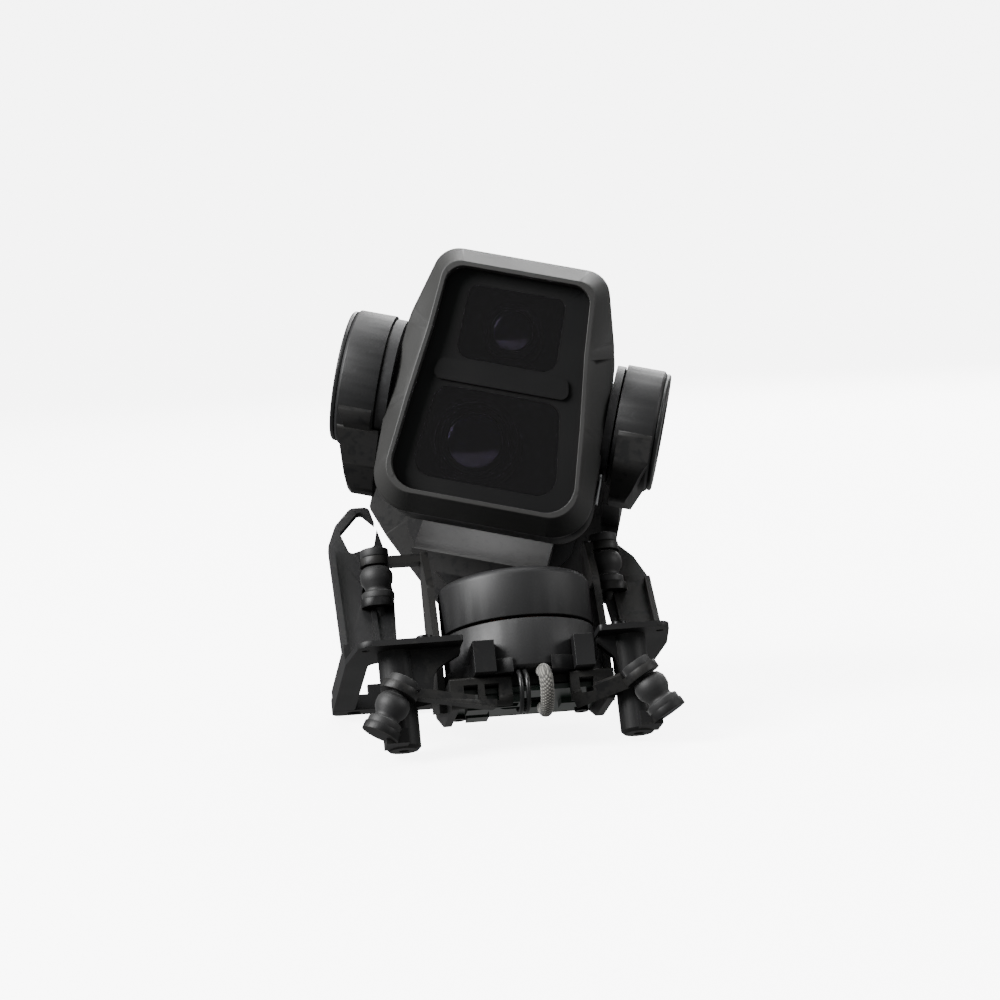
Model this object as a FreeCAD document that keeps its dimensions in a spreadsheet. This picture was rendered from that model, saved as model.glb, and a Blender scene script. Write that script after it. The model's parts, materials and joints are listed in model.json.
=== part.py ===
"""Three-axis stabilised camera gimbal with its damped mounting bracket.

The part stands on its bracket: two front feet and the rear bridge, leaning back.  Every piece is
drawn in the frame of the body that carries it, and gets that frame's placement at the end.
X is to the right, Y to the back, Z along the yaw axis (bracket frames) or up the camera's face.
"""
import FreeCAD, Part
import math
import os

V = FreeCAD.Vector
X_AXIS, Y_AXIS, Z_AXIS = V(1, 0, 0), V(0, 1, 0), V(0, 0, 1)

doc = FreeCAD.newDocument("gimbal")

# ---------------------------------------------------------------- driving dimensions (mm, degrees)
DIMENSIONS = {
    "lean": 21.5,               # the bracket leans back when it stands on a table
    "yaw_offset": -8.0,         # angles of the three axes as the part rests
    "roll_offset": 17.0,
    "pitch_offset": 11.0,
    "sag_side": 2.3,            # sideways sag of the soft suspension at rest
    "gap_plane": 3.6,           # split line of the yaw motor above the wing plane
    "roll_height": 32.8,        # roll axis above the split line
    "pitch_above_roll": 5.4,
    "wing_thickness": 0.9,
    "wing_tip": 25.2,
    "wing_front": 14.0,
    "post_radius": 2.7,
    "post_centre_x": 18.0,
    "post_centre_y": -9.5,
    "post_length": 15.2,
    "rail_rear": 33.0,
    "foot_bore": 0.8,
    "yaw_radius": 11.9,
    "yaw_rotor_height": 8.1,
    "yaw_stator_height": 8.2,
    "motor_gap": 0.45,
    "motor_wall": 0.9,
    "pitch_drum_radius": 10.85,
    "pitch_drum_length": 6.3,
    "idler_drum_radius": 9.75,
    "idler_drum_length": 6.4,
    "camera_half_width": 17.1,
    "camera_front": 13.0,
    "camera_rear": 10.5,
    "yoke_back": 27.0,
    "yoke_plate": 2.4,
    "roll_drum_radius": 8.6,
    "roll_drum_length": 9.0,
    "damper_radius": 2.6,
    "damper_neck": 1.5,
    "damper_length": 8.4,
    "shaft_radius": 1.5,
}
sheet = doc.addObject("Spreadsheet::Sheet", "dims")
for row, (alias, value) in enumerate(DIMENSIONS.items(), start=1):
    sheet.set(f"A{row}", alias)
    sheet.set(f"B{row}", str(value))
    sheet.setAlias(f"B{row}", alias)
doc.recompute()


def dim(alias):
    return float(sheet.get(alias))


# ---------------------------------------------------------------- the frames of the five bodies
def frame(parent, origin, axis=Z_AXIS, angle=0.0):
    return parent.multiply(FreeCAD.Placement(origin, FreeCAD.Rotation(axis, angle)))


standing = FreeCAD.Placement()
bracket = frame(standing, V(), X_AXIS, -dim("lean"))
plate = frame(bracket, V(dim("sag_side"), 0, 0))
yaw = frame(plate, V(0, 0, dim("gap_plane")), Z_AXIS, dim("yaw_offset"))
roll = frame(yaw, V(0, 0, dim("roll_height")), Y_AXIS, dim("roll_offset"))
pitch = frame(roll, V(0, 0, dim("pitch_above_roll")), X_AXIS, dim("pitch_offset"))
nodes = []


def finish(shape_object, label, placement):
    """Name a sub-part, put it in its body's frame and remember it for the export."""
    shape_object.Label = label
    shape_object.Placement = placement.multiply(shape_object.Placement)
    nodes.append(shape_object)
    return shape_object


# ---------------------------------------------------------------- small modelling helpers
def bind(thing, **sizes):
    for name, value in sizes.items():
        if isinstance(value, str):
            thing.setExpression(name, value)
        else:
            setattr(thing, name, value)
    return thing


def toward(axis):
    return FreeCAD.Rotation(Z_AXIS, axis)


def cylinder(radius, height, at=V(), axis=Z_AXIS):
    thing = bind(doc.addObject("Part::Cylinder", "cylinder"), Radius=radius, Height=height)
    thing.Placement = FreeCAD.Placement(at, toward(axis))
    return thing


def box(length, width, height, at=V(), axis=Z_AXIS, angle=0.0):
    thing = bind(doc.addObject("Part::Box", "box"), Length=length, Width=width, Height=height)
    thing.Placement = FreeCAD.Placement(at, FreeCAD.Rotation(axis, angle))
    return thing


def cut(base, *tools):
    for tool in tools:
        step = doc.addObject("Part::Cut", "cut")
        step.Base, step.Tool = base, tool
        base = step
    return base


def fuse(*pieces):
    step = doc.addObject("Part::MultiFuse", "fuse")
    step.Shapes = list(pieces)
    step.Refine = True
    return step


def group(*pieces):
    """Several separate solids of one kind in one node."""
    step = doc.addObject("Part::Compound", "group")
    step.Links = list(pieces)
    return step


def common(first, second):
    step = doc.addObject("Part::Common", "common")
    step.Base, step.Tool = first, second
    return step


def edges_where(thing, test):
    doc.recompute()
    return [i for i, edge in enumerate(thing.Shape.Edges, start=1) if test(edge)]


def fillet(thing, radius, test):
    step = doc.addObject("Part::Fillet", "fillet")
    step.Base = thing
    step.Edges = [(i, radius, radius) for i in edges_where(thing, test)]
    return step


def chamfer(thing, size, test):
    step = doc.addObject("Part::Chamfer", "chamfer")
    step.Base = thing
    step.Edges = [(i, size, size) for i in edges_where(thing, test)]
    return step


def rim(height, axis="z"):
    """Test for round edges that lie at one height along an axis."""
    def test(edge):
        if edge.Curve.TypeId != "Part::GeomCircle":
            return False
        return abs(getattr(edge.Curve.Center, axis) - height) < 0.02
    return test


def rounded(points, radius):
    """Outline through (x, y) corners, each rounded; radius is one value or one for each corner."""
    radii = radius if isinstance(radius, (list, tuple)) else [radius] * len(points)
    corners = [V(px, py, 0) for px, py in points]
    geometry, ends = [], []
    for i, corner in enumerate(corners):
        before, after = corners[i - 1], corners[(i + 1) % len(corners)]
        to_before, to_after = (before - corner).normalize(), (after - corner).normalize()
        half = to_before.getAngle(to_after) / 2
        reach = radii[i] / math.tan(half)
        start, end = corner + to_before * reach, corner + to_after * reach
        middle_way = (to_before + to_after).normalize()
        centre = corner + middle_way * (radii[i] / math.sin(half))
        if radii[i] > 0:
            geometry.append(Part.Arc(start, centre - middle_way * radii[i], end))
        ends.append((start, end))
    for i in range(len(corners)):
        geometry.append(Part.LineSegment(ends[i - 1][1], ends[i][0]))
    return geometry


PLANES = {"XY": "XY_Plane", "XZ": "XZ_Plane", "YZ": "YZ_Plane"}


def sketch_on(body, plane, geometry, offset=0.0):
    sketch = body.newObject("Sketcher::SketchObject", "outline")
    role = PLANES[plane]
    origin_plane = [f for f in body.Origin.OriginFeatures if f.Role == role][0]
    sketch.AttachmentSupport = [(origin_plane, "")]
    sketch.MapMode = "FlatFace"
    sketch.AttachmentOffset = FreeCAD.Placement(V(0, 0, offset), FreeCAD.Rotation())
    sketch.addGeometry(geometry, False)
    return sketch


def pad(outline, depth, plane="XZ", offset=0.0, holes=()):
    """A body padded from an outline: +Z from an XY plane, -Y (to the front) from an XZ plane."""
    body = doc.addObject("PartDesign::Body", "body")
    feature = body.newObject("PartDesign::Pad", "pad")
    feature.Profile = sketch_on(body, plane, outline, offset)
    bind(feature, Length=depth)
    doc.recompute()
    for hole in holes:
        before = body.Shape.Volume
        opening = body.newObject("PartDesign::Pocket", "opening")
        opening.Profile = sketch_on(body, plane, hole, offset)
        opening.Type = "ThroughAll"
        opening.Midplane = True
        doc.recompute()
        assert body.Shape.Volume < before - 0.01, "a pocket cut nothing"
    return body


def turned(profile):
    """A body turned round Z from (radius, height) corners; the profile lies in the XZ plane."""
    body = doc.addObject("PartDesign::Body", "body")
    feature = body.newObject("PartDesign::Revolution", "revolution")
    lines = rounded(profile, 0.0)
    sketch = sketch_on(body, "XZ", lines)
    feature.Profile = sketch
    feature.ReferenceAxis = (sketch, ["V_Axis"])
    feature.Angle = 360
    doc.recompute()
    return body


def about(thing, axis, at=V()):
    """Lay something made along Z along another axis."""
    thing.Placement = FreeCAD.Placement(at, toward(axis)).multiply(thing.Placement)
    return thing


def moved(thing, at=V(), axis=Z_AXIS, angle=0.0):
    thing.Placement = FreeCAD.Placement(at, FreeCAD.Rotation(axis, angle)).multiply(thing.Placement)
    return thing


# ================================================================ bracket (fixed to the aircraft)
PANEL_SLOPE = 0.475             # the side panels lean back this much for each unit of height
PANEL_FOOT_Y = 1.5
WING_INNER = {-1: 8.0, 1: 12.8}     # the wings stop short of the sagging cradle
PANEL_INNER = {-1: 15.8, 1: 17.4}
PANEL_TOP = {-1: 28.6, 1: 19.0}     # the right panel stops below the lowered end of the pitch axis
FRONT_DAMPER_TOP = V(17.3, -14.2, -5.2)
FRONT_DAMPER_AXIS = V(0.485, 0, -0.875)
REAR_DAMPER_TOP = V(18.4, 5.2, 20.4)
REAR_DAMPER_AXIS = V(0, 0, -1)
SIDES = {"left": -1, "right": 1}


def side_point(point, side):
    return V(point.x * side, point.y, point.z)


def bracket_frame(side_name):
    side = SIDES[side_name]
    tip, front, rear = dim("wing_tip"), -dim("wing_front"), dim("rail_rear") - 4.0
    inner = WING_INNER[side]
    outline = [(inner, front), (tip - 1.5, front), (tip, -3.0), (tip, rear),
               (tip - 3.6, rear), (tip - 3.6, -2.0), (inner + 2.5, -8.4), (inner, -8.4)]
    outline = [(x * side, y) for x, y in outline]
    if side < 0:
        outline.reverse()
    deck = pad(rounded(outline, [0.6, 2.2, 2.0, 0.6, 0.6, 2.0, 1.0, 0.6][::side]),
               "dims.wing_thickness", "XY")
    rail = box(1.0, rear + 2.5, 3.4, V(side * (tip - 0.5) - 0.5, -2.5, 0))
    post_at = V(side * dim("post_centre_x"), dim("post_centre_y") + 0.9, 0)
    post = cylinder("dims.post_radius", "dims.post_length", post_at, -Z_AXIS)
    post = chamfer(post, 0.5, rim(-dim("post_length")))
    web_points = [(inner + 0.2, 0.2), (inner + 0.2, -1.1), (inner + 4.4, -3.4), (inner + 5.2, -8.6),
                  (dim("post_centre_x"), -9.4), (dim("post_centre_x"), 0.2)]
    if side > 0:
        web_points[3] = (dim("post_centre_x") - 1.8, -8.6)
        web_points[2] = (inner + 2.6, -3.4)
    web_points = [(x * side, z) for x, z in web_points]
    web = pad(rounded(web_points, [0, 0.5, 3.0 if side < 0 else 1.2, 0.6, 0, 0]), 1.6, "XZ", 8.6)
    seat = side_point(FRONT_DAMPER_TOP + FRONT_DAMPER_AXIS * (dim("damper_length") + 0.02), side)
    axis = side_point(FRONT_DAMPER_AXIS, side)
    cup = cylinder(2.9, 1.2, seat, axis)
    lug = box(3.4, 5.0, 2.2, V(side * 19.3 - 1.7, -13.9, -15.0))
    whole = fuse(deck, rail, post, web, cup, lug)
    bore = cylinder("dims.foot_bore", 7.0, post_at + V(0, 0, -dim("post_length") - 0.1))
    slot = cylinder(0.6, 3.0, V(side * (tip - 2.6), -11.2, -1))
    peg_hole = cylinder(0.65, 3.0, V(side * 13.6, -11.4, -1)) if side < 0 else None
    damper_space = cylinder(dim("damper_radius") + 0.05, dim("damper_length") + 0.01,
                            side_point(FRONT_DAMPER_TOP, side), axis)
    tools = [bore, slot, damper_space] + ([peg_hole] if peg_hole else [])
    return finish(cut(whole, *tools), f"bracket_{side_name}_frame", bracket)


def bracket_panel(side_name):
    """Sloping side panel with a window, an outer flange and the shelf of a rear damper."""
    side = SIDES[side_name]
    tip = dim("wing_tip")
    length = PANEL_TOP[side] * math.sqrt(1 + PANEL_SLOPE ** 2)
    inner = PANEL_INNER[side]
    outline = [(tip, 0.5), (tip, length - 8.0), (tip - 1.6, length - 3.6), (tip - 4.4, length),
               (tip - 7.4, length), (inner + 0.6, length - 8.4), (inner, 12.5), (inner + 0.8, 0.5)]
    window = [(tip - 3.4, 21.8), (tip - 2.2, 26.4), (tip - 5.8, 31.0), (tip - 8.4, 27.6),
              (tip - 7.4, 23.2)]
    windows = [rounded([(x * side, s) for x, s in window], 0.7)] if side < 0 else []
    panel = pad(rounded([(x * side, s) for x, s in outline], [0.3, 3, 2, 1.5, 1, 2, 1, 0.3]),
                1.1, "XZ", 0, windows)
    flange = box(0.9, 2.6, length - 10.0, V(side * (tip - 0.45) - 0.45, -2.4, 1.0))
    rib = box(0.8, 1.6, 16.0, V(side * 19.4 - 0.4, -1.6, 1.0))
    tilt = math.degrees(math.atan(PANEL_SLOPE))
    sheet_part = moved(fuse(panel, flange, rib), V(0, PANEL_FOOT_Y, 1.05), X_AXIS, -tilt)
    shelf_z = REAR_DAMPER_TOP.z - dim("damper_length") - 1.3
    shelf_front = REAR_DAMPER_TOP.y - 2.8
    shelf = box(4.9, 6.0, 1.28, V(side * (REAR_DAMPER_TOP.x + 0.35) - 2.45, shelf_front, shelf_z))
    shelf = fillet(shelf, 2.0, lambda e: abs(e.BoundBox.ZLength - 1.28) < 0.01
                   and e.BoundBox.YMax < shelf_front + 1)
    nub = cylinder(1.1, 1.6, V(side * REAR_DAMPER_TOP.x, REAR_DAMPER_TOP.y, shelf_z - 1.5))
    damper_space = cylinder(dim("damper_radius") + 0.05, dim("damper_length") + 0.01,
                            side_point(REAR_DAMPER_TOP, side), REAR_DAMPER_AXIS)
    deck_space = box(60, 40, dim("wing_thickness") + 0.02, V(-30, -10, 0))
    rail_space = box(1.04, 45, 3.42, V(side * (tip - 0.5) - 0.52, -5, 0))
    whole = cut(fuse(sheet_part, shelf, nub), damper_space, deck_space, rail_space)
    return finish(whole, f"bracket_{side_name}_panel", bracket)


def rear_bridge():
    tip, rear = dim("wing_tip"), dim("rail_rear")
    beam = box(2 * tip, 3.9, 2.6, V(-tip, rear - 3.9, 0))
    beam = fillet(beam, 1.4, lambda e: abs(e.BoundBox.ZLength - 2.6) < 0.01 and e.BoundBox.YMin > 30)
    web = box(2 * tip - 12, 1.0, 4.2, V(-tip + 6, rear - 3.9, 0))
    bores = [cylinder(1.1, 8, V(side * 21.6, rear - 1.7, -2)) for side in SIDES.values()]
    return finish(cut(fuse(beam, web), *bores), "bracket_rear_bridge", bracket)


def bracket_screws():
    deck = dim("wing_thickness")
    def screw(x, y):
        head = cylinder(1.25, 0.7, V(x, y, deck + 0.02))
        recess = cylinder(0.55, 0.5, V(x, y, deck + 0.4))
        return cut(head, recess)
    places = [(-13.6, -11.4), (16.4, -11.4), (-22.6, 6.0), (22.6, 6.0), (-22.6, 20.0), (22.6, 20.0)]
    return finish(group(*[screw(x, y) for x, y in places]), "bracket_screws", bracket)


for side_name in SIDES:
    bracket_frame(side_name)
    bracket_panel(side_name)
rear_bridge()
bracket_screws()

# ================================================================ rubber dampers
def damper(name, top, axis):
    neck, full, length = dim("damper_neck"), dim("damper_radius"), dim("damper_length")
    profile = [(0, 0), (2.0, 0), (2.3, 0.3), (2.3, 1.3), (neck, 1.5), (neck, 2.9), (full - 0.3, 3.2),
               (full, 4.6), (full - 0.3, 6.0), (2.0, 6.4), (2.0, 6.9), (full, 7.1), (full, length),
               (0, length)]
    return finish(about(turned(profile), axis, top), name, bracket)


for side_name, side in SIDES.items():
    damper(f"damper_front_{side_name}", side_point(FRONT_DAMPER_TOP, side),
           side_point(FRONT_DAMPER_AXIS, side))
    damper(f"damper_rear_{side_name}", side_point(REAR_DAMPER_TOP, side), REAR_DAMPER_AXIS)

# ================================================================ suspended damping plate
SAG = dim("sag_side")
EYE_AT = 1.5                    # how far down each damper its eye sits
EYE_HEIGHT = 1.3


def eye(top, axis, side):
    """Ring round a damper's neck, in the plate's frame."""
    start = side_point(top + axis * (EYE_AT + 0.05), side) - V(SAG, 0, 0)
    return start, side_point(axis, side)


def damping_plate():
    half, floor_z = 12.6, -6.2
    profile = [(-10.5, -5.0), (-10.5, -9.6), (3.0, -9.6), (15.0, -5.0)]
    block = pad(rounded(profile, [0.4, 1.5, 2.0, 0.6]), 2 * half, "YZ", -half)
    hollow_profile = [(-9.3, floor_z), (-9.3, -12.0), (9.6, -12.0), (9.6, floor_z)]
    hollow = pad(rounded(hollow_profile, 0.3), 2 * half - 2.4, "YZ", -half + 1.2)
    cable_gate = box(9.0, 4.0, 8.0, V(-3.2, -12.0, -10.0))
    slots = [box(2.2, 4.0, 2.6, V(x, -12.0, -8.8)) for x in (-10.6, -7.4, 7.2)]
    walls = []
    for side in SIDES.values():
        wall_points = [(-3.0, -8.6), (-4.0, 1.0), (-1.5, 12.0), (2.6, 18.9), (6.6, 18.9), (7.0, 8.0),
                       (7.0, -6.6)]
        wall = pad(rounded(wall_points, [0, 1, 2, 1, 1, 2, 0]), 1.1, "YZ", side * 13.1 - 0.55)
        walls.append(wall)
        place, axis = eye(REAR_DAMPER_TOP, REAR_DAMPER_AXIS, side)
        ring = cylinder(2.4, EYE_HEIGHT, place, axis)
        reach = abs(place.x) - 12.6
        arm = box(reach, 3.0, EYE_HEIGHT,
                  V(min(side * 12.6, place.x), place.y - 1.5, place.z - EYE_HEIGHT))
        walls += [ring, arm]
        place, axis = eye(FRONT_DAMPER_TOP, FRONT_DAMPER_AXIS, side)
        walls.append(cylinder(2.9, EYE_HEIGHT, place, axis))
        inner_end = V(side * 8.5, -10.6, -9.0)
        spine = V(place.x, -13.4, place.z - 0.7)
        span = inner_end - spine
        lever = box(span.Length + 1.5, 2.4, 1.5)
        turn = FreeCAD.Rotation(X_AXIS, V(span.x, span.y, span.z))
        lever.Placement = FreeCAD.Placement(spine - turn.multVec(V(-1.0, 1.2, 0.75)), turn)
        walls.append(lever)
    whole = fuse(block, *walls)
    neck_holes = []
    for side in SIDES.values():
        for top, axis in ((REAR_DAMPER_TOP, REAR_DAMPER_AXIS), (FRONT_DAMPER_TOP, FRONT_DAMPER_AXIS)):
            place, way = eye(top, axis, side)
            neck_holes.append(cylinder("dims.damper_neck + 0.02", 6.0, place - way * 2.0, way))
            clear = cylinder(2.75, 1.6, place - way * 1.58, way)
            below = cylinder(2.75, 6.0, place + way * (EYE_HEIGHT + 0.02), way)
            neck_holes += [clear, below]
    shaft_hole = cylinder(4.0, 4.0, V(0, 0, -7.5))
    return finish(cut(whole, hollow, cable_gate, shaft_hole, *slots, *neck_holes), "damping_plate", plate)


def yaw_cradle():
    """Shallow cup under the yaw motor with two tabs standing up in front of it."""
    radius = dim("yaw_radius")
    cup = cylinder(radius + 0.6, 2.3, V(0, 0, -4.97))
    pocket = cylinder(radius + 0.04, 3.0, V(0, 0, -4.37))
    centre_hole = cylinder(4.0, 4.0, V(0, 0, -6.0))
    tabs = []
    for x_low, x_high in ((-8.9, -5.6), (6.6, 9.6)):
        post = box(x_high - x_low, 12.0, 5.0, V(x_low, -13.0, -4.97))
        tabs.append(cut(post, cylinder(radius + 0.04, 8.0, V(0, 0, -5.5)),
                        box(30, 12, 9, V(-15, -6.5, -6))))
    cable_slot = box(5.9, 5.6, 3.0, V(-2.9, -13.6, -5.6))
    return finish(cut(fuse(cup, *tabs), pocket, centre_hole, cable_slot), "yaw_motor_cradle", plate)


def ring_magnets(inner, outer, height, base, count):
    """Separate magnet blocks round the inside of a rotor."""
    tube = cut(cylinder(outer, height, V(0, 0, base)), cylinder(inner, height + 2, V(0, 0, base - 1)))
    doc.recompute()
    solids = []
    gap = 360.0 / count
    for i in range(count):
        wedge = Part.makeCylinder(outer + 1, height + 2, V(0, 0, base - 1), Z_AXIS, gap - 4.0)
        wedge.rotate(V(), Z_AXIS, i * gap)
        solids.append(tube.Shape.common(wedge).Solids[0])
    piece = doc.addObject("Part::Feature", "magnets")
    piece.Shape = Part.makeCompound(solids)
    return piece


def stator_core(outer, bore, height, base, teeth=9):
    """Laminated core: a hub with teeth that end in wider shoes."""
    shape = Part.makeCylinder(bore + 0.6, height, V(0, 0, base))
    for i in range(teeth):
        tooth = Part.makeBox(outer * 0.72, outer * 0.14, height, V(0.0, -outer * 0.07, base))
        shoe = Part.makeCylinder(outer, height, V(0, 0, base), Z_AXIS, 26.0)
        shoe = shoe.cut(Part.makeCylinder(outer * 0.86, height, V(0, 0, base)))
        shoe.rotate(V(), Z_AXIS, -13.0)
        arm = tooth.fuse(Part.makeBox(outer * 0.9, outer * 0.14, height, V(0, -outer * 0.07, base)))
        arm = arm.fuse(shoe)
        arm.rotate(V(), Z_AXIS, i * 360.0 / teeth)
        shape = shape.fuse(arm)
    shape = shape.cut(Part.makeCylinder(bore, height + 2, V(0, 0, base - 1))).removeSplitter()
    piece = doc.addObject("Part::Feature", "core")
    piece.Shape = shape
    return piece


def windings(outer, bore, height, base, teeth=9):
    """One copper coil round each tooth, as a closed block with the tooth's slot through it."""
    coils = []
    for i in range(teeth):
        low, high = bore + 0.7, outer * 0.82
        width = outer * 0.26
        coil = Part.makeBox(high - low, width, height + 1.2, V(low, -width / 2, base - 0.6))
        slot = Part.makeBox(high - low + 2, outer * 0.14 + 0.06, height + 0.06,
                            V(low - 1, -outer * 0.07 - 0.03, base - 0.03))
        coil = coil.cut(slot)
        coil.rotate(V(), Z_AXIS, i * 360.0 / teeth)
        coils.append(coil)
    piece = doc.addObject("Part::Feature", "coils")
    piece.Shape = Part.makeCompound(coils)
    return piece


def bearing(outer, bore, height, base):
    """Outer race, inner race and a shield between them, as one closed ring each."""
    middle = (outer + bore) / 2
    outer_race = cut(cylinder(outer, height, V(0, 0, base)),
                     cylinder(middle + 0.35, height + 2, V(0, 0, base - 1)))
    inner_race = cut(cylinder(middle - 0.35, height, V(0, 0, base)),
                     cylinder(bore, height + 2, V(0, 0, base - 1)))
    shield = cut(cylinder(middle + 0.33, height * 0.7, V(0, 0, base + height * 0.15)),
                 cylinder(middle - 0.33, height + 2, V(0, 0, base - 1)))
    return [outer_race, inner_race, shield]


# ================================================================ motors
def motor_stator(name, outer, height, base, core_outer, core_base, core_height, place):
    """Cup with a central boss that carries the bearings and the laminated core."""
    shaft, wall = dim("shaft_radius"), dim("motor_wall")
    boss, seat = shaft + 2.1, shaft + 1.52
    boss_top = core_base + core_height
    cup = turned([(shaft + 0.3, base), (outer - 0.5, base), (outer, base + 0.5), (outer, base + height),
                  (outer - wall, base + height), (outer - wall, base + 1.1), (boss, base + 1.1),
                  (boss, boss_top), (seat, boss_top), (seat, base + 0.8), (shaft + 0.3, base + 0.8)])
    core = stator_core(core_outer, boss + 0.02, core_height, core_base)
    coils = windings(core_outer, boss, core_height, core_base)
    low = bearing(seat - 0.01, shaft + 0.02, 1.6, base + 0.82)
    high = bearing(seat - 0.01, shaft + 0.02, 1.6, boss_top - 1.6)
    bearings = group(*low, *high)
    for piece, label in ((cup, "stator_housing"), (core, "stator_core"), (coils, "windings"),
                         (bearings, "bearings")):
        axis, at, body_frame = place
        finish(about(piece, axis, at), f"{name}_{label}", body_frame)


def motor_rotor(name, cap, magnet_inner, magnet_outer, magnet_height, magnet_base, shaft_low,
                shaft_high, place):
    """Cap, magnet ring and shaft of one motor, all on the driven body."""
    axis, at, body_frame = place
    finish(about(cap, axis, at), f"{name}_rotor_cap", body_frame)
    magnets = ring_magnets(magnet_inner, magnet_outer, magnet_height, magnet_base, 12)
    finish(about(magnets, axis, at), f"{name}_magnets", body_frame)
    shaft = cylinder("dims.shaft_radius", shaft_high - shaft_low, V(0, 0, shaft_low))
    shaft = chamfer(shaft, 0.2, rim(shaft_low))
    finish(about(shaft, axis, at), f"{name}_shaft", body_frame)


damping_plate()
yaw_cradle()
GAP = dim("gap_plane")
HALF_GAP = dim("motor_gap") / 2
YAW_R = dim("yaw_radius")
stator_low = -4.35 - GAP
motor_stator("yaw", YAW_R, -HALF_GAP - stator_low, stator_low, 9.6, 0.9, 4.4,
             (Z_AXIS, V(0, 0, GAP), plate))
top = dim("yaw_rotor_height")
yaw_cap = turned([(dim("shaft_radius") + 0.02, top - 1.3), (YAW_R - 0.9, top - 1.3), (YAW_R - 0.9, HALF_GAP),
                  (YAW_R, HALF_GAP), (YAW_R, top), (dim("shaft_radius") + 0.02, top)])
yaw_cap = fillet(yaw_cap, 1.3, lambda e: rim(top)(e) and e.Curve.Radius > 5)
motor_rotor("yaw", yaw_cap, 9.95, YAW_R - 0.92, 5.6, 0.7, stator_low - 1.1, top - 0.3,
            (Z_AXIS, V(), yaw))


def control_board():
    board = pad(rounded([(-11.4, -8.4), (11.4, -8.4), (11.4, 8.0), (-11.4, 8.0)], 1.2), 0.8, "XY", -7.3,
                [rounded([(-3.6, -3.6), (3.6, -3.6), (3.6, 3.6), (-3.6, 3.6)], 1.5)])
    chips = [box(3.4, 3.4, 0.9, V(x, y, -8.2)) for x, y in ((-9.2, -1.5), (5.4, -2.0), (-8.6, 4.0))]
    return finish(fuse(board, *chips), "control_board", plate)


def board_connector():
    shell = box(6.0, 3.4, 1.4, V(-7.4, -7.6, -8.72))
    return finish(cut(shell, box(5.0, 2.4, 1.0, V(-6.9, -7.1, -9.0))), "board_connector", plate)


def plate_screws():
    screws = []
    for x, y in ((-9.8, -6.8), (9.8, -6.8), (-9.8, 6.4), (9.8, 6.4)):
        head = cylinder(1.1, 0.6, V(x, y, -7.92))
        screws.append(cut(head, cylinder(0.5, 0.4, V(x, y, -8.0))))
    return finish(group(*screws), "plate_screws", plate)


def route(points, diameter):
    """Tube of straight runs joined by tangent arcs, each as large as its two runs allow."""
    corners = [V(*p) for p in points]
    edges, at = [], corners[0]
    for before, corner, after in zip(corners, corners[1:], corners[2:]):
        way_in, way_out = corner - before, after - corner
        shorter = min(way_in.Length, way_out.Length)
        turn = way_in.getAngle(way_out)
        reach = 0.45 * shorter
        start = corner - way_in.normalize() * reach
        end = corner + way_out.normalize() * reach
        radius = reach / math.tan(turn / 2)
        bisector = (way_out - way_in).normalize()
        middle = corner + bisector * (radius / math.cos(turn / 2) - radius)
        edges += [Part.LineSegment(at, start).toShape(), Part.Arc(start, middle, end).toShape()]
        at = end
        print(f"  route radius {radius:.2f} mm")
    edges.append(Part.LineSegment(at, corners[-1]).toShape())
    path = Part.Wire(edges)
    first = (corners[1] - corners[0]).normalize()
    ring = Part.Wire(Part.makeCircle(diameter / 2, corners[0], first))
    piece = doc.addObject("Part::Feature", "tube")
    piece.Shape = path.makePipeShell([ring], True, False)
    expected = math.pi * diameter ** 2 / 4 * path.Length
    assert abs(piece.Shape.Volume / expected - 1) < 0.02, "a tube lost its section"
    return piece


WIRE_ROUTE = [(0, -9.9, -4.6), (0, -12.1, -5.0), (0, -13.6, -6.6), (0, -13.4, -8.8), (0, -11.9, -10.5),
              (0, -9.7, -10.9), (0, -7.6, -9.9)]


def shifted(points, x, dy=0.0):
    return [(px + x, py + dy, pz) for px, py, pz in points]


finish(group(*[route(shifted(WIRE_ROUTE, x), 0.7) for x in (-2.2, -1.2)]), "signal_wires", plate)
motor_space = cylinder(dim("yaw_radius") + 0.04, 6.0, V(0, 0, -4.37))
sleeve = cut(route(shifted(WIRE_ROUTE, 1.7, 0.1), 2.1), motor_space)
finish(sleeve, "braided_cable_sleeve", plate)
control_board()
board_connector()
plate_screws()

# ---------------------------------------------------------------- yaw arm and roll motor
ROLL_H = dim("roll_height")
YOKE_BACK, YOKE_PLATE = dim("yoke_back"), dim("yoke_plate")
ROLL_R = dim("roll_drum_radius")
ROTOR_FACE = YOKE_BACK + YOKE_PLATE + 0.02
SPLIT = ROTOR_FACE + 4.2
ROLL_REAR = SPLIT + 5.4


def yaw_arm():
    profile = [(9.0, 1.6), (34.5, 1.6), (ROLL_REAR, 6.0), (ROLL_REAR, 29.0), (SPLIT + 0.5, 29.0),
               (SPLIT + 0.3, 12.5), (31.0, 7.0), (9.0, 7.0)]
    arm = pad(rounded(profile, [0.3, 6.0, 4.0, 0.3, 0.3, 4.0, 5.0, 0.3]), 9.6, "YZ", -4.8)
    arm = fillet(arm, 0.8, lambda e: e.Curve.TypeId == "Part::GeomLine"
                 and e.BoundBox.XLength < 0.01 and e.BoundBox.YMin > 13)
    drum = cylinder(YAW_R + 0.02, 20, V(0, 0, -2))
    motor = cylinder(ROLL_R + 0.02, 30, V(0, SPLIT - 8, ROLL_H), Y_AXIS)
    return finish(cut(arm, drum, motor), "yaw_arm", yaw)


def yaw_arm_cover():
    shell = pad(rounded([(-3.9, 7.0), (3.9, 7.0), (3.4, 23.2), (-3.4, 23.2)], 1.4), 0.9, "XZ",
                -(ROLL_REAR + 0.92))
    return finish(shell, "yaw_arm_cover", yaw)


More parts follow.
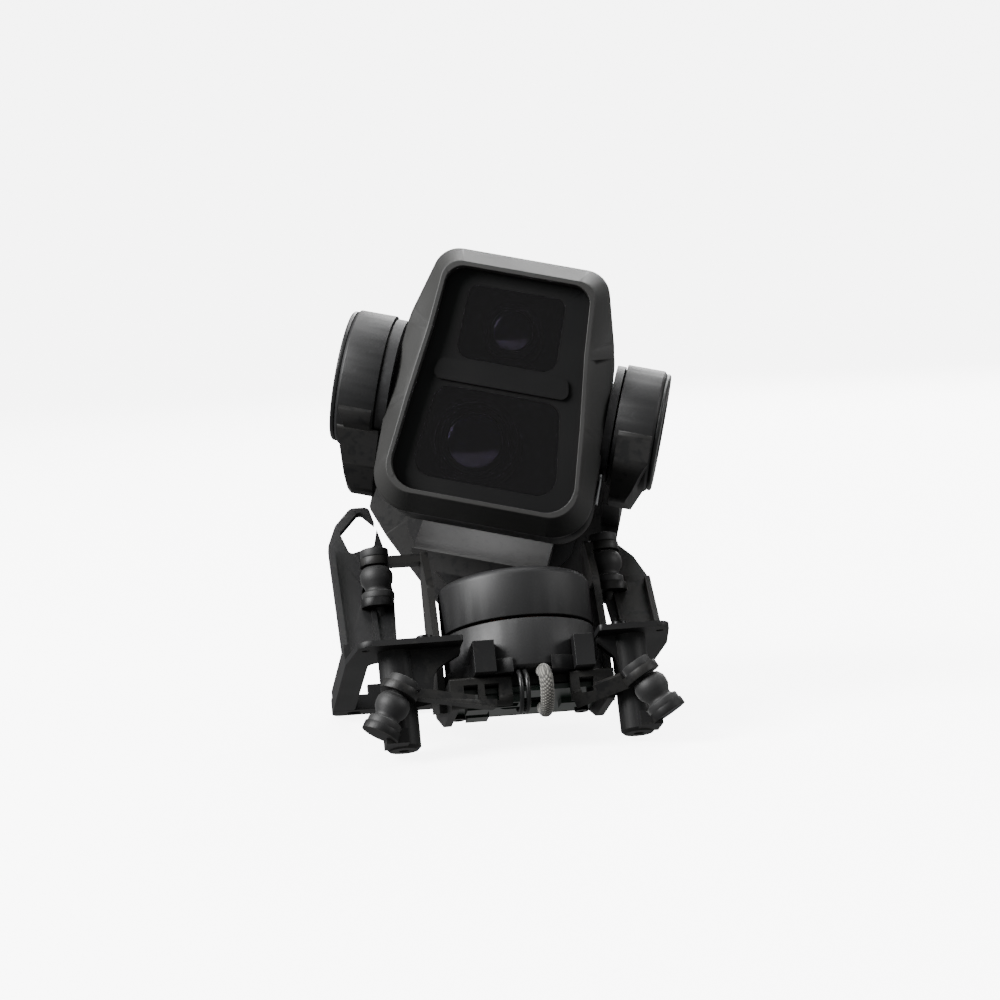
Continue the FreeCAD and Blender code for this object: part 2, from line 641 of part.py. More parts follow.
yaw_arm()
yaw_arm_cover()
motor_stator("roll", ROLL_R, ROLL_REAR - SPLIT - HALF_GAP, 0, 6.6, 5.0, 2.6,
             (-Y_AXIS, V(0, ROLL_REAR, ROLL_H), yaw))
ROLL_TOP = ROLL_REAR - ROTOR_FACE
ROLL_OPEN = ROLL_REAR - SPLIT + HALF_GAP
roll_cap = turned([(dim("shaft_radius") + 0.02, ROLL_TOP - 1.0), (ROLL_R - 0.8, ROLL_TOP - 1.0),
                   (ROLL_R - 0.8, ROLL_OPEN), (ROLL_R, ROLL_OPEN), (ROLL_R, ROLL_TOP),
                   (dim("shaft_radius") + 0.02, ROLL_TOP)])
motor_rotor("roll", roll_cap, 6.9, ROLL_R - 0.82, 2.6, ROLL_OPEN + 0.2, 0.4, ROLL_TOP - 0.1,
            (-Y_AXIS, V(0, ROLL_REAR, 0), roll))

# ================================================================ roll yoke
PITCH_Z = dim("pitch_above_roll")
DRUM_L_R, DRUM_L_LENGTH = dim("pitch_drum_radius"), dim("pitch_drum_length")
DRUM_R_R, DRUM_R_LENGTH = dim("idler_drum_radius"), dim("idler_drum_length")
MOTOR_END = 25.4                # outer faces of the two drums along the pitch axis
IDLER_END = 25.1
ARM_INNER, ARM_WIDTH = 19.4, 5.3
BEHIND = 20.9                   # half width of the yoke behind the drums
SHIELD = [(25.6, 12.0), (25.6, -6.5), (22.8, -11.2), (17.2, -17.4), (7.3, -26.5), (3.6, -29.2)]


def yoke_bowl():
    """Curved trough between the arms, just outside the camera's sweep and above the yaw motor."""
    trough = common(cylinder(29.2, 22.0, V(-11, 0, PITCH_Z), X_AXIS), box(40, 13.2, 23, V(-20, 14, -25)))
    reach = dim("roll_height") - dim("yaw_rotor_height") - 0.5
    return common(trough, cylinder(reach, 40, V(), Y_AXIS))


def yoke_chin():
    """Deeper lower edge of the arm under the motor's drum."""
    front_view = [(-ARM_INNER - ARM_WIDTH, -5.0), (-ARM_INNER - ARM_WIDTH, -10.0), (-22.6, -16.4),
                  (-19.4, -19.6), (-17.95, -19.6), (-17.95, -5.0)]
    side_view = [(-6.0, -5.0), (-5.0, -10.0), (-1.0, -14.6), (3.0, -17.6), (6.0, -17.6), (8.5, -13.5),
                 (9.5, -8.0), (9.5, -5.0)]
    front_view = pad(rounded([(x, z + PITCH_Z) for x, z in front_view], [0, 2, 3, 1, 0, 0]), 30.0,
                     "XZ", -20.0)
    side_view = pad(rounded([(y, z + PITCH_Z) for y, z in side_view], [0, 1, 2, 2, 2, 2, 0, 0]), 12.0,
                    "YZ", -27.0)
    return common(front_view, side_view)


def roll_yoke():
    """Two thick arms that reach back from the drums to a shield-shaped plate on the roll motor."""
    outline = SHIELD + [(-x, z) for x, z in reversed(SHIELD)]
    outline = [(x, z + PITCH_Z) for x, z in outline]
    radii = [2.0, 5.0, 5.0, 5.0, 6.0, 1.5]
    prism = pad(rounded(outline, radii + radii[::-1]), 46.0, "XZ", -YOKE_BACK - YOKE_PLATE)
    rear = YOKE_BACK + YOKE_PLATE
    arm_profile = [(-9.2, -4.0), (-7.4, -9.0), (1.0, -12.2), (8.0, -11.2), (14.0, -9.2), (rear, -9.0),
                   (rear, 7.6), (20.0, 9.4), (5.0, 10.4), (-4.0, 9.0)]
    arm_profile = [(y, z + PITCH_Z) for y, z in arm_profile]
    side_view = pad(rounded(arm_profile, [1.5, 3, 5, 3, 3, 0.5, 3, 4, 3, 3]), 60.0, "YZ", -30.0)
    plan = [(ARM_INNER, -10.0), (ARM_INNER + ARM_WIDTH, -10.0), (ARM_INNER + ARM_WIDTH, 5.0),
            (BEHIND, 13.0), (BEHIND, rear), (17.95, rear), (17.95, 14.0), (ARM_INNER, 11.0)]
    plan_radii = [0, 0, 4, 4, 0, 0, 1, 1]
    arms = []
    for side in SIDES.values():
        corners = [(x * side, y) for x, y in plan][::side]
        top_view = pad(rounded(corners, plan_radii[::side]), 60.0, "XY", -30.0)
        arms.append(common(side_view, top_view))
    back = box(2 * BEHIND, YOKE_PLATE, 46.0, V(-BEHIND, YOKE_BACK, -26.0))
    lid = box(52.0, 10.0, 20.0, V(-26.0, YOKE_BACK - 4, PITCH_Z + 7.6))
    sweep = cylinder(26.4, 35.9, V(-17.95, 0, PITCH_Z), X_AXIS)
    body = cut(common(fuse(*arms, back, yoke_bowl()), prism), lid, sweep)
    left = cylinder(DRUM_L_R + 0.02, 12, V(-MOTOR_END - 2, 0, PITCH_Z), X_AXIS)
    right = cylinder(DRUM_R_R + 0.02, 12, V(IDLER_END - 8, 0, PITCH_Z), X_AXIS)
    shaft = cylinder(dim("shaft_radius") + 0.5, 20, V(0, 15, 0), Y_AXIS)
    return finish(cut(fuse(body, yoke_chin()), left, right, shaft), "roll_yoke", roll)


def yoke_front_plate():
    """Thin cover in front of the yoke's plate, over the flexible circuit that crosses it."""
    outline = [(15.2, 3.0), (14.0, -16.0), (9.6, -21.0), (3.4, -25.6)]
    outline = outline + [(-x, z) for x, z in reversed(outline)]
    outline = [(x, z + PITCH_Z) for x, z in outline]
    cover = pad(rounded(outline, [1.5, 5, 3, 2, 2, 3, 5, 1.5]), 0.5, "XZ", -YOKE_BACK + 0.02)
    sweep = cylinder(26.45, 70.0, V(-35, 0, PITCH_Z), X_AXIS)
    return finish(cut(cover, sweep, yoke_bowl()), "yoke_front_plate", roll)


roll_yoke()
yoke_front_plate()
motor_stator("pitch", DRUM_L_R, DRUM_L_LENGTH, 0, 8.3, 2.6, 2.6,
             (X_AXIS, V(-MOTOR_END, 0, PITCH_Z), roll))


def cap_disc(name, radius, thickness, axis, at):
    profile = [(0, 0.02), (radius, 0.02), (radius, thickness - 0.25), (radius - 0.25, thickness),
               (radius * 0.55, thickness), (radius * 0.55 - 0.2, thickness - 0.2), (0, thickness - 0.2)]
    return finish(about(turned(profile), axis, at), name, roll)


cap_disc("pitch_motor_cap", DRUM_L_R - 0.35, 0.7, -X_AXIS, V(-MOTOR_END, 0, PITCH_Z))
cap_disc("idler_cap", DRUM_R_R - 0.35, 0.6, X_AXIS, V(IDLER_END, 0, PITCH_Z))
SEAT = dim("shaft_radius") + 1.52
idler = turned([(1.8, 0), (DRUM_R_R - 0.5, 0), (DRUM_R_R, 0.5), (DRUM_R_R, DRUM_R_LENGTH),
                (DRUM_R_R - 0.9, DRUM_R_LENGTH), (DRUM_R_R - 0.9, 1.1), (SEAT + 0.6, 1.1),
                (SEAT + 0.6, 5.0), (SEAT, 5.0), (SEAT, 0.8), (1.8, 0.8)])
finish(about(idler, -X_AXIS, V(IDLER_END, 0, PITCH_Z)), "idler_housing", roll)
idler_bearings = bearing(SEAT - 0.01, 1.52, 1.6, 0.82) + bearing(SEAT - 0.01, 1.52, 1.6, 3.4)
finish(about(group(*idler_bearings), -X_AXIS, V(IDLER_END, 0, PITCH_Z)), "idler_bearings", roll)

# ================================================================ camera
pitch_cap = turned([(1.52, 6.55), (9.3, 6.55), (9.3, 2.2), (9.75, 2.2), (9.75, 6.55), (10.45, 6.55),
                    (10.45, 8.2), (1.52, 8.2)])
motor_rotor("pitch", pitch_cap, 8.6, 9.28, 3.6, 2.4, 0.3, 8.1, (X_AXIS, V(-MOTOR_END, 0, 0), pitch))
idler_hub = turned([(1.52, 6.7), (9.35, 6.7), (9.35, 8.0), (1.52, 8.0)])
finish(about(idler_hub, -X_AXIS, V(IDLER_END, 0, 0)), "idler_hub", pitch)
finish(about(cylinder(1.5, 7.6, V(0, 0, 0.4)), -X_AXIS, V(IDLER_END, 0, 0)), "idler_shaft", pitch)

FRONT, REAR = -dim("camera_front"), dim("camera_rear")
BEZEL_REAR = FRONT + 6.0
SHELL_RADII = [4.2, 14.0, 20.0, 6.2]


def symmetric(points):
    return points + [(-x, z) for x, z in reversed(points)]


def camera_outline(inset=0.0):
    half = dim("camera_half_width") + 0.4 - inset
    points = [(13.2 - inset, 22.3 - inset), (half - 1.1, 10.5), (half, -4.0), (half - 0.2, -20.3 + inset)]
    radii = [max(r - inset, 0.6) for r in SHELL_RADII]
    return rounded(symmetric(points), radii + radii[::-1])


def rim_outline(grow=0.0):
    points = [(11.3 + grow, 18.9 + grow), (12.1 + grow, 8.4), (13.5 + grow, -3.0),
              (14.9 + grow, -17.0 - grow)]
    radii = [3.0, 12.0, 20.0, 4.4]
    return rounded(symmetric(points), radii + radii[::-1])


def hub_spaces():
    """Flats on both sides of the head, where the two hubs sit."""
    return [cylinder(10.6, 6.0, V(x, 0, 0), X_AXIS) for x in (17.07, -23.07)]


def front_bezel():
    body = doc.addObject("PartDesign::Body", "body")
    feature = body.newObject("PartDesign::AdditiveLoft", "slope")
    feature.Profile = sketch_on(body, "XZ", camera_outline(), -(FRONT + 4.6))
    feature.Sections = [(sketch_on(body, "XZ", rim_outline(0.7), -FRONT), [""])]
    feature.Ruled = True
    doc.recompute()
    band = body.newObject("PartDesign::Pad", "band")
    band.Profile = sketch_on(body, "XZ", camera_outline(), -(FRONT + 4.6))
    bind(band, Length=1.4)
    band.Reversed = True
    doc.recompute()
    inside = body.newObject("PartDesign::Pocket", "inside")
    inside.Profile = sketch_on(body, "XZ", rim_outline(), -FRONT)
    inside.Type = "ThroughAll"
    inside.Midplane = True
    doc.recompute()
    return finish(cut(body, *hub_spaces()), "camera_front_bezel", pitch)


def rear_shell():
    """Box open to the front, with rounded rear edges and side holes for the two axles."""
    outer = pad(camera_outline(0.25), REAR - BEZEL_REAR, "XZ", -REAR)
    outer = fillet(outer, 3.0, lambda e: abs(e.BoundBox.YMin - REAR) < 0.01 and e.BoundBox.YLength < 0.01)
    inner = pad(camera_outline(1.5), REAR - 1.4 - BEZEL_REAR + 1, "XZ", -(REAR - 1.4))
    axle = cylinder(1.56, 60, V(-30, 0, 0), X_AXIS)
    side_cuts = [box(6, 40, 60, V(x, -20, -30)) for x in (17.16, -23.16)]
    return finish(cut(outer, inner, axle, *side_cuts, *hub_spaces()), "camera_rear_shell", pitch)


TELE = V(0, 0, 10.6)
WIDE = V(-2.6, 0, -7.5)
PANEL_Y = FRONT + 2.4
UPPER_WINDOW = ([(7.7, 16.6), (8.0, 4.9), (-8.0, 4.9), (-7.7, 16.6)], [1.6, 2.2, 2.2, 1.6])
LOWER_WINDOW = ([(9.7, 0.2), (11.7, -14.4), (-11.7, -14.4), (-9.7, 0.2)], [2.6, 3.0, 3.0, 2.6])


def window_outline(window, grow=0.0):
    points, radii = window
    points = [(x + math.copysign(grow, x), z + (grow if i in (0, 3) else -grow))
              for i, (x, z) in enumerate(points)]
    return rounded(points, [r + grow for r in radii])


def lens_panel():
    panel = pad(rim_outline(-0.02), 1.6, "XZ", -(PANEL_Y + 1.6),
                [window_outline(UPPER_WINDOW, 0.03), window_outline(LOWER_WINDOW, 0.03)])
    bar = pad(rounded([(10.2, 4.4), (11.0, 1.0), (-11.0, 1.0), (-10.2, 4.4)], 1.2), 0.5, "XZ",
              -(PANEL_Y + 0.02))
    return finish(fuse(panel, bar), "lens_panel", pitch)


def lens_window(name, window):
    glass = pad(window_outline(window), 0.9, "XZ", -(PANEL_Y + 0.9))
    return finish(glass, name, pitch)


def lens_group(name, radius, centre, depth):
    """Barrel with a stepped mouth, a front element and a rear element, from the window back."""
    start = PANEL_Y + 1.0
    at = V(centre.x, start, centre.z)
    barrel = turned([(radius - 0.8, 0.05), (radius, 0.05), (radius, depth), (radius * 0.6, depth),
                     (radius * 0.6, depth - 1.0), (radius - 1.6, 1.6), (radius - 0.8, 0.9)])
    finish(about(barrel, Y_AXIS, at), f"{name}_lens_barrel", pitch)
    bulge = Part.makeSphere(radius * 1.7, V(0, 0, radius * 1.7 + 0.25))
    front = bulge.common(Part.makeCylinder(radius - 0.85, 0.85, V(0, 0, 0.2)))
    element = doc.addObject("Part::Feature", "element")
    element.Shape = front
    sensor_at = V(centre.x, start + depth + 0.05, centre.z)
    sensor = box(radius * 1.5, 0.9, radius * 1.2, sensor_at - V(radius * 0.75, 0, radius * 0.6))
    return about(element, Y_AXIS, at), sensor


front_bezel()
rear_shell()
lens_panel()
lens_window("tele_window", UPPER_WINDOW)
lens_window("wide_window", LOWER_WINDOW)
tele_element, tele_sensor = lens_group("tele", 4.6, TELE, 9.0)
wide_element, wide_sensor = lens_group("wide", 6.9, WIDE, 10.2)
finish(group(tele_element, wide_element), "lens_front_elements", pitch)
finish(group(tele_sensor, wide_sensor), "image_sensors", pitch)


def camera_board():
    board = pad(camera_outline(2.4), 0.8, "XZ", -(REAR - 3.2))
    chips = [box(w, 0.9, w, V(x, REAR - 3.22, z)) for x, z, w in ((-9, 4, 8), (2.5, 6, 6), (-4, -12, 7))]
    return finish(fuse(board, *chips), "camera_main_board", pitch)


def heat_sink():
    plate_part = box(20, 0.5, 26, V(-10, REAR - 2.28, -14))
    return finish(plate_part, "camera_heat_spreader", pitch)


camera_board()
heat_sink()
screws = [cut(cylinder(0.95, 0.5, V(x, REAR + 0.02, z), Y_AXIS),
              cylinder(0.45, 0.4, V(x, REAR + 0.25, z), Y_AXIS))
          for x, z in ((-9.5, 16.5), (9.5, 16.5), (-11.5, -14.5), (11.5, -14.5))]
finish(group(*screws), "camera_screws", pitch)

# ================================================================ stand the assembly on the floor
doc.recompute()
for node in nodes:
    assert not ({"Invalid", "Error"} & set(node.State)), f"{node.Label} failed"
    assert not node.Shape.isNull() and node.Shape.isValid(), f"{node.Label} has no sound shape"
whole = Part.makeCompound([node.Shape for node in nodes]).optimalBoundingBox(False, False)
shift = V(-(whole.XMin + whole.XMax) / 2, -(whole.YMin + whole.YMax) / 2, -whole.ZMin)
for node in nodes:
    node.Placement = FreeCAD.Placement(shift, FreeCAD.Rotation()).multiply(node.Placement)
doc.recompute()
os.makedirs("parts", exist_ok=True)
for node in nodes:
    node.Shape.exportStep(f"parts/{node.Label}.step")
    print(f"{node.Label:28s} solids {len(node.Shape.Solids):3d} volume {node.Shape.Volume:9.2f}")
print("size", round(whole.XLength, 2), round(whole.YLength, 2), round(whole.ZLength, 2))
body_frames = {"bracket": bracket, "plate": plate, "yaw": yaw, "roll": roll, "pitch": pitch}
for name, body_frame in body_frames.items():
    turn = body_frame.Rotation
    axes = [[round(c, 5) for c in turn.multVec(a)] for a in (X_AXIS, Y_AXIS, Z_AXIS)]
    print("frame", name, [round(c, 3) for c in body_frame.Base + shift], axes)
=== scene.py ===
# %% [markdown]
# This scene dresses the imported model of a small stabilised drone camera.

# %% Load the frame
import json
import math

import bmesh
import bpy
from mathutils import Matrix, Vector


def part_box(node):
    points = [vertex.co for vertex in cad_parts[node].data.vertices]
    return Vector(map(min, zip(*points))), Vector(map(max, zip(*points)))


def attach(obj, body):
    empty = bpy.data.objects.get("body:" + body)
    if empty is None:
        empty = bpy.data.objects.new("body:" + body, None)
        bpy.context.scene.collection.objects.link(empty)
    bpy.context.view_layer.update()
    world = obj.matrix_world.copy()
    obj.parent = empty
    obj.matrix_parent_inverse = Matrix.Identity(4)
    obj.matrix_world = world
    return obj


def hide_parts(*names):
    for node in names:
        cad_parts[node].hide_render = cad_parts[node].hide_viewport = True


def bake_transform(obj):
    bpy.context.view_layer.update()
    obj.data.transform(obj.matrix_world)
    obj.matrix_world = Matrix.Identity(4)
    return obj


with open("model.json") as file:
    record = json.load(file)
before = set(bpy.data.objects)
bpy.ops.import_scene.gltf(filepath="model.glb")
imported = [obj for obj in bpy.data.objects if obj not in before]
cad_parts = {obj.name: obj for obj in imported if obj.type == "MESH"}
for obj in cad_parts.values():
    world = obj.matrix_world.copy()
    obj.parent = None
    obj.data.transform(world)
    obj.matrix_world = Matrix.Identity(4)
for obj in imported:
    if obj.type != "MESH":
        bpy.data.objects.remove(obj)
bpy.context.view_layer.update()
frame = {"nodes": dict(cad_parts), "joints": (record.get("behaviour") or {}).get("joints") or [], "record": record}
NODES = frame["nodes"]
JOINTS = {joint["name"]: joint for joint in frame["joints"]}
MM = 0.001

# %% [markdown]
# The object is a chain: bracket, damped plate, yaw arm, roll yoke, camera.  Each link is turned a
# little against the one before it, so a detail is easiest to place in the link's own axes.  These
# four angles give a matrix for each link, with its origin on the joint that carries it.

# %% Axes of each link
LEAN, YAW_REST, ROLL_REST, PITCH_REST = (math.radians(a) for a in (-21.5, -8.0, 17.0, 11.0))


def link_matrix(joint_name, *turns):
    """Turns about the link's own axes, one after another, at a joint's position."""
    matrix = Matrix.Translation(Vector(JOINTS[joint_name]["pos_m"]))
    for angle, axis in turns:
        matrix = matrix @ Matrix.Rotation(angle, 4, axis)
    return matrix


TURNS = [(LEAN, "X"), (YAW_REST, "Z"), (ROLL_REST, "Y"), (PITCH_REST, "X")]
PLATE = link_matrix("yaw", TURNS[0])
PITCH = link_matrix("pitch", *TURNS)
print("pitch axis points along", [round(c, 3) for c in PITCH.col[0][:3]])

# %% [markdown]
# The camera comes first, because every finish is judged through it.  A long lens from half a metre
# keeps the small part's lines nearly parallel.  It looks slightly down, from a little to the left,
# and is rolled a few degrees, as a hand-held product shot is.

# %% Camera
AZIMUTH, ELEVATION, CAMERA_ROLL = (math.radians(a) for a in (8.0, 5.0, 3.0))
DISTANCE = 450 * MM
AIM_RIGHT, AIM_UP = -1.63 * MM, 21.2 * MM       # from the yaw motor's split line to the aim point
view = Vector((math.sin(AZIMUTH) * math.cos(ELEVATION), math.cos(AZIMUTH) * math.cos(ELEVATION),
               -math.sin(ELEVATION)))
right = Vector((math.cos(AZIMUTH), -math.sin(AZIMUTH), 0))
up = right.cross(view)
aim = Vector(JOINTS["yaw"]["pos_m"]) + right * AIM_RIGHT + up * AIM_UP
lens_right = right * math.cos(CAMERA_ROLL) - up * math.sin(CAMERA_ROLL)
lens_up = right * math.sin(CAMERA_ROLL) + up * math.cos(CAMERA_ROLL)
turn = Matrix((lens_right, lens_up, -view)).transposed().to_4x4()
camera_data = bpy.data.cameras.new("camera")
camera_data.lens, camera_data.sensor_width = 103.7, 36.0
camera_data.clip_start, camera_data.clip_end = 0.01, 20.0
camera = bpy.data.objects.new("camera", camera_data)
camera.matrix_world = Matrix.Translation(aim - view * DISTANCE) @ turn
bpy.context.collection.objects.link(camera)
bpy.context.scene.camera = camera
print("camera at", [round(c, 3) for c in camera.location])

# %% [markdown]
# A product table is a sheet that runs flat under the part and curves up behind it, so no horizon
# shows.  A grid is extruded up at its far edge, and the fold is bevelled into a wide cove.

# %% Table and backdrop
def deselect_all():
    bpy.ops.object.select_all(action="DESELECT")


def add_light(name, location, target, size, watts):
    data = bpy.data.lights.new(name, "AREA")
    data.shape, data.size, data.energy = "SQUARE", size, watts
    light = bpy.data.objects.new(name, data)
    light.location = location
    direction = Vector(target) - Vector(location)
    light.rotation_euler = direction.to_track_quat("-Z", "Y").to_euler()
    bpy.context.collection.objects.link(light)


deselect_all()
bpy.ops.mesh.primitive_plane_add(size=4.0, location=(0, 0, 0))
table = bpy.context.object
table.name = "table"
bpy.ops.object.mode_set(mode="EDIT")
bpy.ops.mesh.select_mode(type="EDGE")
bpy.ops.mesh.select_all(action="DESELECT")
mesh = bmesh.from_edit_mesh(table.data)
for edge in mesh.edges:
    edge.select = all(v.co.y > 1.9 for v in edge.verts)
bmesh.update_edit_mesh(table.data)
bpy.ops.mesh.extrude_region_move(TRANSFORM_OT_translate={"value": (0, 0, 3.0)})
bpy.ops.mesh.select_all(action="DESELECT")
mesh = bmesh.from_edit_mesh(table.data)
for edge in mesh.edges:
    edge.select = all(v.co.y > 1.9 and v.co.z < 0.01 for v in edge.verts)
bmesh.update_edit_mesh(table.data)
bpy.ops.mesh.bevel(offset=0.8, segments=12)
bpy.ops.object.mode_set(mode="OBJECT")
bpy.ops.object.shade_smooth()
paper = bpy.data.materials.new("white_paper")
paper.use_nodes = True
paper_shader = paper.node_tree.nodes["Principled BSDF"]
paper_shader.inputs["Base Color"].default_value = (0.95, 0.95, 0.95, 1)
paper_shader.inputs["Roughness"].default_value = 0.8
paper_shader.inputs["Emission Color"].default_value = (1, 1, 1, 1)
paper_shader.inputs["Emission Strength"].default_value = 6.0
table.data.materials.append(paper)
table.visible_glossy = table.visible_diffuse = False      # the table's glow lights nothing

world = bpy.data.worlds.new("studio")
world.use_nodes = True
world.node_tree.nodes["Background"].inputs["Color"].default_value = (1, 1, 1, 1)
world.node_tree.nodes["Background"].inputs["Strength"].default_value = 0.3
bpy.context.scene.world = world
CENTRE = (0, 0, 0.04)
SOFTBOXES = {                   # place, size and power in watts
    "key_softbox": ((-0.62, -0.22, 0.5), 0.4, 16.0),
    "top_softbox": ((0.05, 0.25, 0.9), 0.7, 9.0),
    "side_strip": ((0.7, -0.25, 0.35), 0.3, 2.2),
    "back_softbox": ((0.35, 0.8, 0.5), 0.5, 8.0),
}
for name, (location, size, watts) in SOFTBOXES.items():
    add_light(name, location, CENTRE, size, watts)
print("table, world and", len(SOFTBOXES), "softboxes")

# %% [markdown]
# Materials are built from small steps.  One function turns a hex colour into the linear values
# that shaders use, one adds a node with its settings and links, and one starts a material with a
# Principled shader and object coordinates, so patterns stay put on a piece when it moves.

# %% Material helpers
def linear(hex_colour):
    channels = [int(hex_colour[i:i + 2], 16) / 255 for i in (0, 2, 4)]
    return tuple(c / 12.92 if c <= 0.04045 else ((c + 0.055) / 1.055) ** 2.4 for c in channels) + (1.0,)


def add_node(tree, kind, settings=None, **inputs):
    """A node with its settings; inputs are values, or (node, output) pairs to link.  _0 is input 0."""
    node = tree.nodes.new(kind)
    for name, value in (settings or {}).items():
        setattr(node, name, value)
    for name, value in inputs.items():
        socket = node.inputs[int(name[1:])] if name[0] == "_" else node.inputs[name.replace("_", " ")]
        if isinstance(value, tuple) and isinstance(value[0], bpy.types.Node):
            tree.links.new(value[0].outputs[value[1]], socket)
        else:
            socket.default_value = value
    return node


def new_material(name, roughness, metallic=0.0, **sockets):
    material = bpy.data.materials.new(name)
    material.use_nodes = True
    tree = material.node_tree
    shader = tree.nodes["Principled BSDF"]
    shader.inputs["Roughness"].default_value = roughness
    shader.inputs["Metallic"].default_value = metallic
    for socket, value in sockets.items():
        shader.inputs[socket.replace("_", " ")].default_value = value
    place = add_node(tree, "ShaderNodeTexCoord")
    return material, tree, shader, place


def ramp(tree, source, low, high, colour_low, colour_high):
    node = add_node(tree, "ShaderNodeValToRGB", Fac=source)
    first, last = node.color_ramp.elements
    first.position, first.color = low, colour_low
    last.position, last.color = high, colour_high
    return node


print("material helpers ready")

# %% [markdown]
# Most of the part is painted or anodised light alloy and glass-filled plastic.  The eye reads both
# from the same three cues: a fine grain that breaks up highlights, slow patches where the finish is
# a little thicker or handled, and lighter convex edges, partly worn coating and partly a painted
# highlight along the edges.  One recipe covers them, with the colour, the grain size and the depth
# of the grain set for each finish.

# %% Grained finishes
def grained(name, dark, light, grain_mm, roughness, depth, metallic=0.0, edge_wear_and_highlight=None, spread=0.10, **sockets):
    """Fine moulded or blasted grain: noise for bump, slow noise for colour and roughness, lighter convex edges as
    wear and painted highlight.
    """
    material, tree, shader, place = new_material(name, roughness, metallic, **sockets)
    coordinates = (place, "Object")
    grain = add_node(tree, "ShaderNodeTexNoise", Vector=coordinates, Scale=1 / (grain_mm * MM),
                     Detail=4.0, Roughness=0.6)
    patches = add_node(tree, "ShaderNodeTexNoise", Vector=coordinates, Scale=1 / (14 * MM), Detail=2.0)
    tone = ramp(tree, (patches, "Fac"), 0.35, 0.68, linear(dark), linear(light))
    speckle = ramp(tree, (grain, "Fac"), 0.30, 0.75, (0.82, 0.82, 0.82, 1), (1.12, 1.12, 1.12, 1))
    colour = add_node(tree, "ShaderNodeMix", {"data_type": "RGBA", "blend_type": "MULTIPLY"})
    colour.inputs[0].default_value = 1.0
    tree.links.new(tone.outputs["Color"], colour.inputs[6])
    tree.links.new(speckle.outputs["Color"], colour.inputs[7])
    result = (colour, 2)
    # Convex edges are painted lighter in patches: partly worn coating, partly a painted highlight along the edges.
    if edge_wear_and_highlight:
        shape = add_node(tree, "ShaderNodeNewGeometry")
        edge_patch_noise = add_node(tree, "ShaderNodeTexNoise", Vector=coordinates, Scale=1 / (1.4 * MM), Detail=5.0)
        ridge = add_node(tree, "ShaderNodeMath", {"operation": "MULTIPLY"}, _0=(shape, "Pointiness"),
                         _1=(edge_patch_noise, "Fac"))
        mask = ramp(tree, (ridge, 0), 0.34, 0.42, (0, 0, 0, 1), (0.5, 0.5, 0.5, 1))
        edge = add_node(tree, "ShaderNodeMix", {"data_type": "RGBA"})
        tree.links.new(mask.outputs["Color"], edge.inputs[0])
        tree.links.new(colour.outputs[2], edge.inputs[6])
        edge.inputs[7].default_value = linear(edge_wear_and_highlight)
        result = (edge, 2)
    tree.links.new(result[0].outputs[result[1]], shader.inputs["Base Color"])
    shine = add_node(tree, "ShaderNodeMapRange", _0=(patches, "Fac"), _1=0.3, _2=0.7,
                     _3=roughness - spread / 2, _4=roughness + spread / 2)
    tree.links.new(shine.outputs[0], shader.inputs["Roughness"])
    bump = add_node(tree, "ShaderNodeBump", Height=(grain, "Fac"), Strength=depth, Distance=0.04 * MM)
    tree.links.new(bump.outputs[0], shader.inputs["Normal"])
    return material


# Where a call gives a colour after the metal value, that colour is painted on convex edges: partly worn coating,
# partly painted highlight.
FINISHES = {
    "bracket_alloy": grained("magnesium_black_coat", "0b0b0c", "101011", 0.22, 0.52, 0.40, 0.0,
                             "242321", Specular_IOR_Level=0.35),
    "plate_alloy": grained("aluminium_black_coat", "0b0b0c", "101011", 0.20, 0.50, 0.35, 0.0, "262523",
                           Specular_IOR_Level=0.35),
    "motor_shell": grained("anodised_graphite", "161617", "1b1b1c", 0.16, 0.52, 0.40, 0.08, "303132"),
    "arm_alloy": grained("magnesium_graphite_coat", "0d0d0e", "131314", 0.20, 0.50, 0.35, 0.0,
                         "262524", Specular_IOR_Level=0.4),
    "camera_shell": grained("polycarbonate_fine_texture", "232322", "292928", 0.18, 0.52, 0.45),
    "cap_plastic": grained("nylon_satin_cap", "131414", "191a1a", 0.16, 0.40, 0.25),
    "lens_panel_black": grained("abs_recess_black", "050506", "090909", 0.16, 0.55, 0.30,
                                Specular_IOR_Level=0.22),
    "damper_rubber": grained("silicone_black", "0b0b0c", "111112", 0.35, 0.60, 0.45, Sheen_Weight=0.1),
    "wire_jacket": grained("pvc_wire_black", "0b0b0c", "121212", 0.25, 0.38, 0.25),
    "screw_steel": grained("blackened_steel", "1c1c1d", "2a2a2b", 0.12, 0.34, 0.25, 0.9),
    "core_steel": grained("silicon_steel_laminations", "6a6b6d", "828385", 0.15, 0.40, 0.30, 0.9),
    "copper": grained("enamelled_copper", "8a4a22", "b06a36", 0.12, 0.30, 0.30, 0.9),
    "bearing_steel": grained("ground_bearing_steel", "8f9194", "abadb0", 0.10, 0.20, 0.10, 1.0),
    "magnet": grained("nickel_plated_magnet", "8c8d8e", "a3a4a4", 0.12, 0.25, 0.10, 1.0),
    "circuit_board": grained("solder_mask_black", "11201a", "1a2c22", 0.30, 0.35, 0.25),
    "heat_spreader": grained("bare_aluminium_sheet", "b4b6b8", "c8cacb", 0.14, 0.32, 0.20, 1.0),
}
print("grained finishes:", ", ".join(sorted(FINISHES)))

# %% [markdown]
# Glass and the braided sleeve need recipes of their own.  The two windows are dark tinted glass
# with a hard clear surface and a thin violet anti-reflection coating, with faint wiping marks in
# the gloss.  The lenses are clear and coated more strongly.

